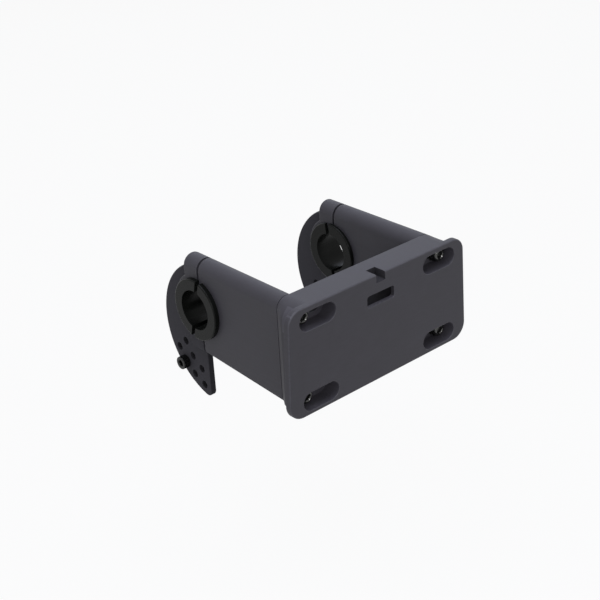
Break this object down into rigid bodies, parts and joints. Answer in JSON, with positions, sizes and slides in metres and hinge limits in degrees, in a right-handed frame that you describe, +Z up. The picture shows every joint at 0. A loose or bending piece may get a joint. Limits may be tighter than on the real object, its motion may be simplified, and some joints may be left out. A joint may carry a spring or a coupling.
{
  "type": "bicycle basket mount",
  "caption": "Handlebar mount for a bicycle basket: split clamps with flanged bushes on arms that slide in a slotted front plate, with drilled webs tied by a cross bolt.",
  "frame": {"origin": "on the handlebar's axis, midway between the two arms", "axes": "+X along the handlebar towards the viewer's right arm, the front plate faces -Y, +Z up"},
  "size_m": [0.1442, 0.1352, 0.0966],
  "materials": {
    "plate_plastic": "fine-grained moulding",
    "arm_plastic": "fine-grained moulding",
    "bush_plastic": "smooth",
    "black_screw": "black oxide, oiled",
    "brass_insert": "turned"
  },
  "bodies": {
    "front_plate": {"front_plate": "plate_plastic"},
    "left_arm_set": {"left_arm": "arm_plastic", "left_clamp_cap": "arm_plastic", "left_bush_front": "bush_plastic", "left_bush_rear": "bush_plastic", "left_upper_screw": "black_screw", "left_lower_screw": "black_screw", "left_upper_washer": "black_screw", "left_lower_washer": "black_screw", "left_upper_insert": "brass_insert", "left_lower_insert": "brass_insert", "cross_bolt": "black_screw"},
    "right_arm_set": {"right_arm": "arm_plastic", "right_clamp_cap": "arm_plastic", "right_bush_front": "bush_plastic", "right_bush_rear": "bush_plastic", "right_upper_screw": "black_screw", "right_lower_screw": "black_screw", "right_upper_washer": "black_screw", "right_lower_washer": "black_screw", "right_upper_insert": "brass_insert", "right_lower_insert": "brass_insert", "cross_nut": "black_screw"}
  },
  "joints": [
    {"name": "left_arm_slide", "type": "slide", "parent": "front_plate", "child": "left_arm_set", "axis": [1, 0, 0], "range_m": [-0.0014, 0.0142]},
    {"name": "right_arm_slide", "type": "slide", "parent": "front_plate", "child": "right_arm_set", "axis": [-1, 0, 0], "range_m": [-0.0014, 0.0142]}
  ]
}
